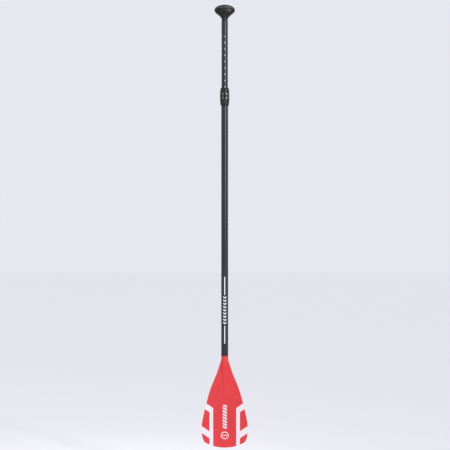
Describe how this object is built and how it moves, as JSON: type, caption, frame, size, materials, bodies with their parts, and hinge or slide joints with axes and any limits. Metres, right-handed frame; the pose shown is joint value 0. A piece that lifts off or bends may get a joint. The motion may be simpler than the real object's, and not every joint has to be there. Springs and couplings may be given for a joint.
{
  "type": "single blade paddle",
  "caption": "Adjustable single blade paddle with a palm grip, a telescopic shaft held by a cam-lever clamp, a take-apart joint and a moulded hollow-faced blade.",
  "frame": {"origin": "on the shaft's axis, midway along the bare wall of the main tube, where a rack or a hand holds it", "axes": "+Z along the shaft towards the palm grip, -Y out of the blade's power face, +X to the side"},
  "size_m": [0.1886, 0.0815, 1.8016],
  "materials": {
    "grip_plastic": "fine moulded texture, satin",
    "grip_rubber": "soft-touch, matte",
    "extension_anodised": "satin black coating with printed scale",
    "main_tube_black": "satin black powder coat",
    "lower_tube_black": "satin black powder coat with white print",
    "collar_plastic": "glass-filled nylon, satin",
    "lever_plastic": "moulded nylon, semi-gloss",
    "steel": "stainless, turned",
    "rivet_aluminium": "black-coated aluminium",
    "black_steel": "black oxide",
    "washer_plastic": "acetal, satin",
    "ferrule_plastic": "glass-filled nylon",
    "plug_plastic": "moulded polyethylene",
    "float_foam": "closed-cell foam",
    "blade_red": "moulded fibre-filled nylon, satin, with white printed bands"
  },
  "bodies": {
    "shaft": {"main_tube": "main_tube_black", "clamp_collar": "collar_plastic", "collar_screws": "black_steel", "clamp_lever_pin": "black_steel", "clamp_bolt": "black_steel", "clamp_barrel_nut": "black_steel", "clamp_cam_washer": "washer_plastic"},
    "lever": {"clamp_lever": "lever_plastic"},
    "extension_guide": {"extension_end_plug": "plug_plastic"},
    "extension": {"extension_tube": "extension_anodised", "grip_body": "grip_plastic", "grip_palm_pad": "grip_rubber", "grip_rivet": "rivet_aluminium", "extension_float_foam": "float_foam"},
    "blade_section": {"lower_tube": "lower_tube_black", "ferrule": "ferrule_plastic", "ferrule_plug": "plug_plastic", "lower_float_foam": "float_foam", "blade": "blade_red", "blade_rivet": "rivet_aluminium", "snap_button_spring": "steel"},
    "button": {"snap_button": "steel"}
  },
  "joints": [
    {"name": "extension_slide", "type": "slide", "parent": "shaft", "child": "extension_guide", "axis": [0, 0, 1], "range_m": [-0.205, 0.32]},
    {"name": "extension_twist", "type": "hinge", "parent": "extension_guide", "child": "extension", "pos_m": [0, 0, 0.3965], "axis": [0, 0, 1], "continuous": true},
    {"name": "clamp_lever_swing", "type": "hinge", "parent": "shaft", "child": "lever", "pos_m": [0.0075, -0.017, 0.363], "axis": [0, 0, -1], "range_deg": [0, 140]},
    {"name": "blade_section_pull", "type": "slide", "parent": "shaft", "child": "blade_section", "axis": [0, 0, -1], "range_m": [0, 0.15]},
    {"name": "snap_button_press", "type": "slide", "parent": "blade_section", "child": "button", "axis": [0, -1, 0], "range_m": [0, 0.0025], "stiffness_N_per_m": 1500, "springref_m": -0.002, "deforming": ["snap_button_spring"]}
  ]
}
